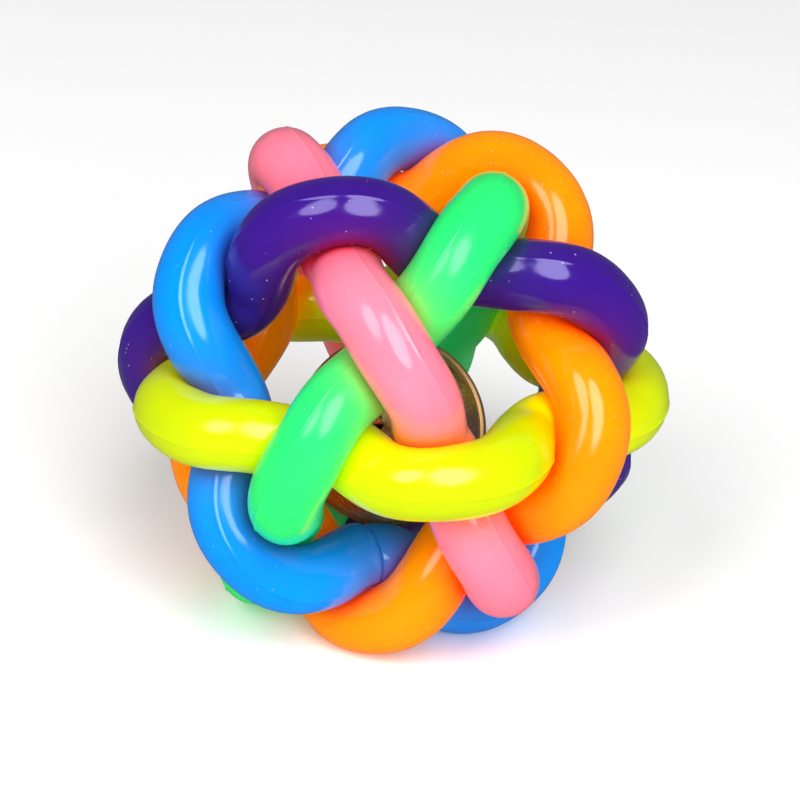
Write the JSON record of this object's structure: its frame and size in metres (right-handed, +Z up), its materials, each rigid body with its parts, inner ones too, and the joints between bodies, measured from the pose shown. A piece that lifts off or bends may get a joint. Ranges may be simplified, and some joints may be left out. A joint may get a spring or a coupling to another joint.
{
  "type": "woven ring ball",
  "caption": "Ball of soft rubber rings plaited over and under one another round a loose jingle bell.",
  "frame": {"origin": "on the surface that the ball stands on, under the ball's centre", "axes": "+Z up through the middles of the bottom and top five-sided windows, square to the yellow ring; -Y towards the side seen from the front, +X to the right of it"},
  "size_m": [0.075, 0.073, 0.0664],
  "materials": {
    "yellow_rubber": "gloss",
    "pink_rubber": "gloss",
    "purple_rubber": "gloss",
    "green_rubber": "gloss",
    "orange_rubber": "gloss",
    "blue_rubber": "gloss",
    "bell_brass": "polished, mottled",
    "loop_wire": "polished",
    "pellet_steel": "satin"
  },
  "bodies": {
    "cage": {"yellow_strand": "yellow_rubber", "pink_strand": "pink_rubber", "purple_strand": "purple_rubber", "green_strand": "green_rubber", "orange_strand": "orange_rubber", "blue_strand": "blue_rubber"},
    "bell": {"bell_loop_half": "bell_brass", "bell_slotted_half": "bell_brass"},
    "hanging_loop": {"bell_hanging_loop": "loop_wire"},
    "pellet": {"bell_pellet": "pellet_steel"}
  },
  "joints": [
    {"name": "bell_bounce", "type": "slide", "parent": "cage", "child": "bell", "axis": [0, 0, 1], "range_m": [0, 0.0155]},
    {"name": "loop_swivel", "type": "hinge", "parent": "bell", "child": "hanging_loop", "pos_m": [0, 0, 0.0255], "axis": [-0.1836, -0.8637, 0.4695], "continuous": true},
    {"name": "pellet_rattle", "type": "slide", "parent": "bell", "child": "pellet", "axis": [0, 0, 1], "range_m": [0, 0.0174]}
  ]
}
